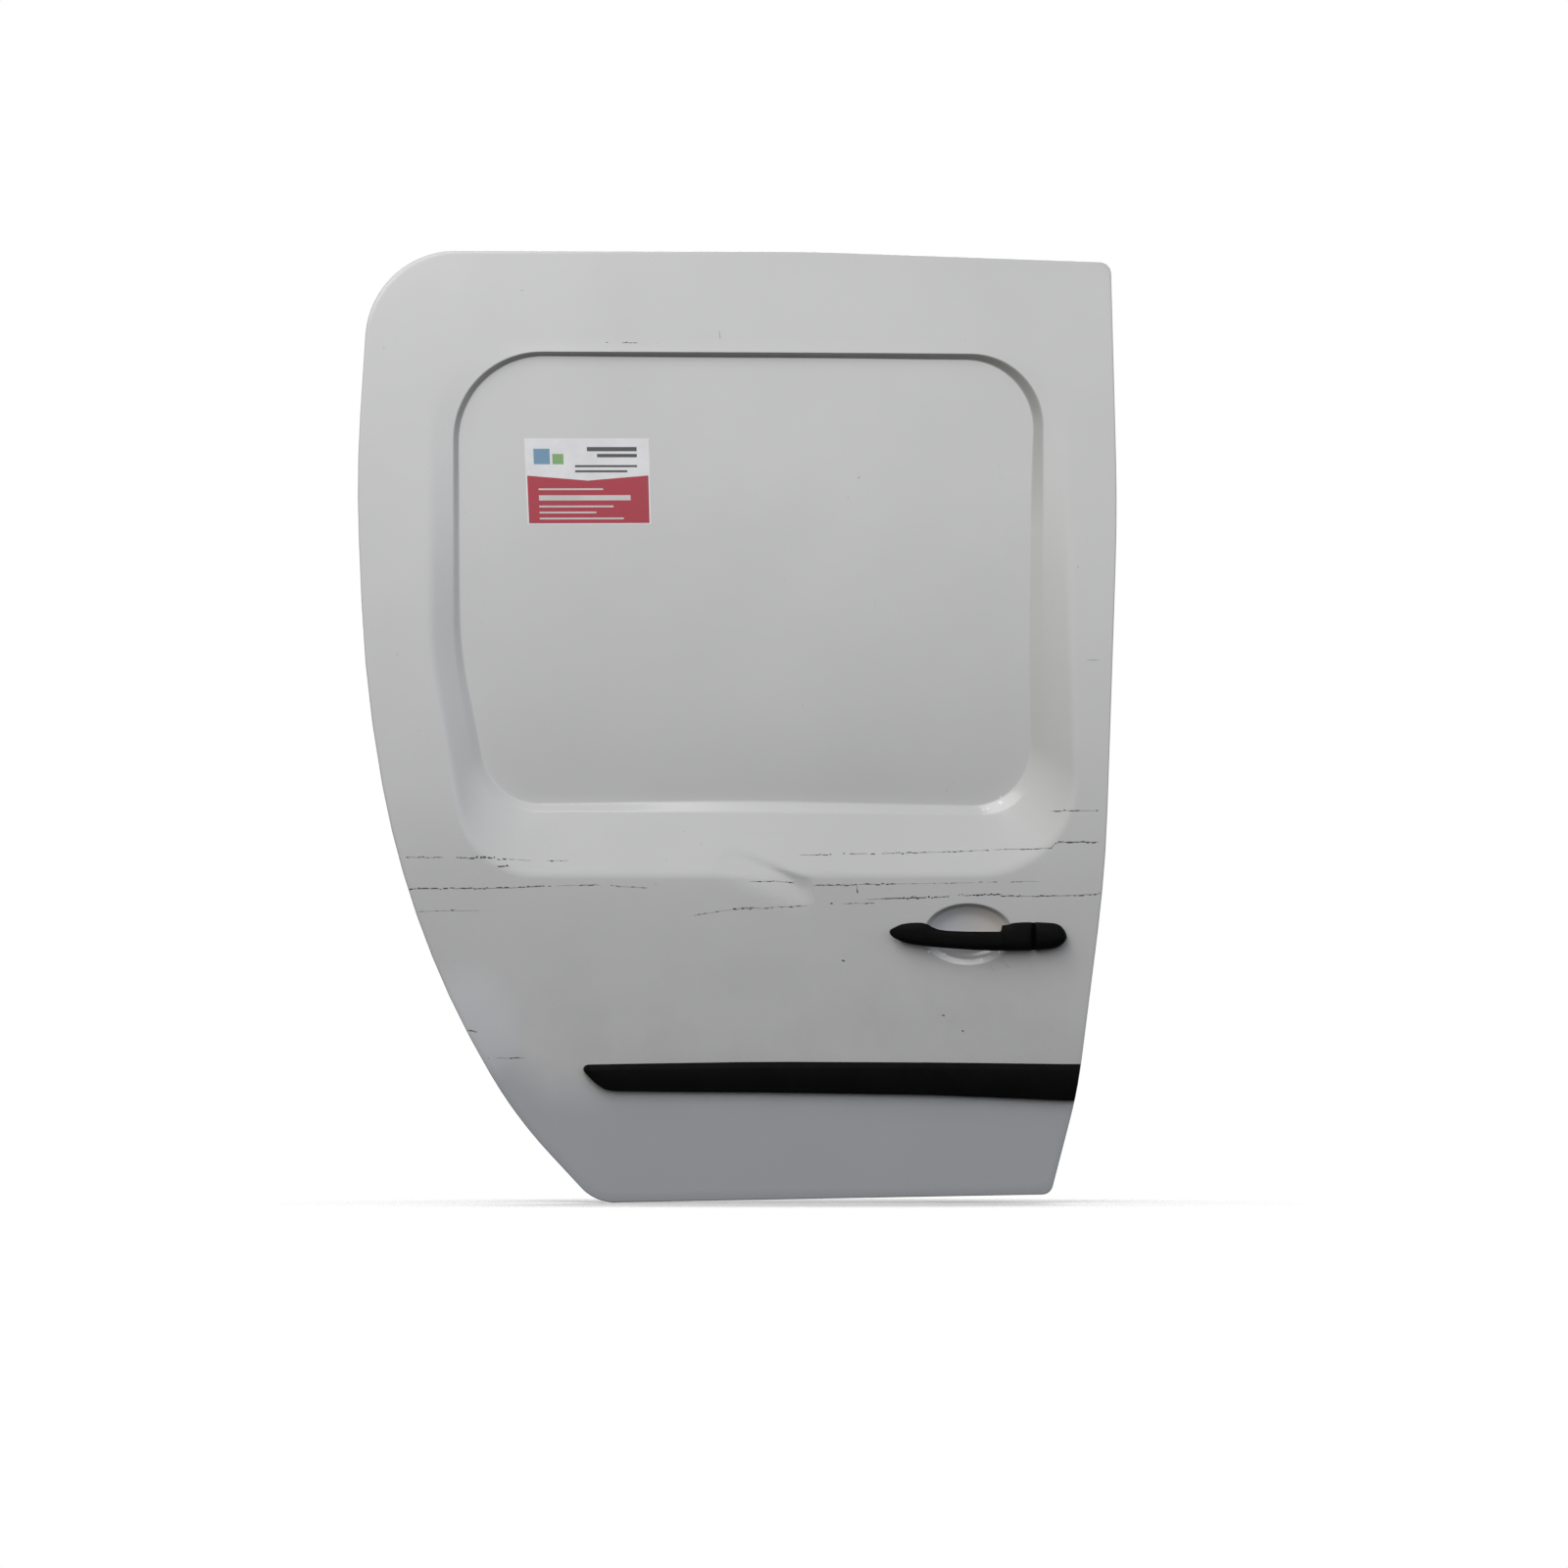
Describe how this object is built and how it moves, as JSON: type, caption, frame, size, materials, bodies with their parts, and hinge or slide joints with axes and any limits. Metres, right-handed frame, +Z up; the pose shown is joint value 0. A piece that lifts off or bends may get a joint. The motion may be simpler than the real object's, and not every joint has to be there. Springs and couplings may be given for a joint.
{
  "type": "vehicle side sliding door leaf",
  "caption": "Blind side sliding door leaf of a small van: pressed skin with a window pan, inner panel, pull handle, side moulding, seal, latches and roller arms.",
  "frame": {"origin": "centre of the flat face of the centre hinge seat, on the inner side near the rear edge", "axes": "+Y out of the inner face, -Y is the outer face, +X towards the front edge, +Z up"},
  "size_m": [0.9559, 0.241, 1.2002],
  "materials": {
    "body_paint": "satin white paint with scratches",
    "inner_paint": "white primer and paint, matt",
    "bare_steel": "zinc plated",
    "trim_black": "grained black plastic",
    "seal_rubber": "soft black rubber",
    "roller_plastic": "dark grey nylon",
    "mastic": "dull grey mastic"
  },
  "bodies": {
    "door": {"outer_skin": "body_paint", "inner_panel": "inner_paint", "waist_beam": "inner_paint", "pan_stiffener": "inner_paint", "impact_tube": "inner_paint", "impact_bracket_rear": "inner_paint", "impact_bracket_front": "inner_paint", "hinge_seat_plate": "inner_paint", "handle_foot": "trim_black", "handle_cap": "trim_black", "handle_pin": "bare_steel", "side_moulding": "trim_black", "weatherstrip": "seal_rubber", "upper_arm": "bare_steel", "upper_roller": "roller_plastic", "upper_roller_pin": "bare_steel", "lower_arm": "bare_steel", "lower_guide_roller": "roller_plastic", "lower_guide_pin": "bare_steel", "lower_load_roller": "roller_plastic", "lower_load_pin": "bare_steel", "front_latch": "bare_steel", "rear_latch": "bare_steel", "front_rod": "bare_steel", "rear_rod": "bare_steel", "control_plate": "bare_steel", "inner_bezel": "trim_black", "inner_handle": "trim_black", "bump_stop_upper": "seal_rubber", "bump_stop_lower": "seal_rubber", "guide_wedge": "roller_plastic", "pan_pad_lower": "mastic", "pan_pad_upper": "mastic"},
    "pull_handle": {"handle_lever": "trim_black"}
  },
  "joints": [
    {"name": "handle_pull", "type": "hinge", "parent": "door", "child": "pull_handle", "pos_m": [0.5548, -0.07955, -0.0907], "axis": [0, 0, -1], "range_deg": [0, 20], "stiffness_Nm_per_rad": 4, "springref_deg": -5.73}
  ]
}
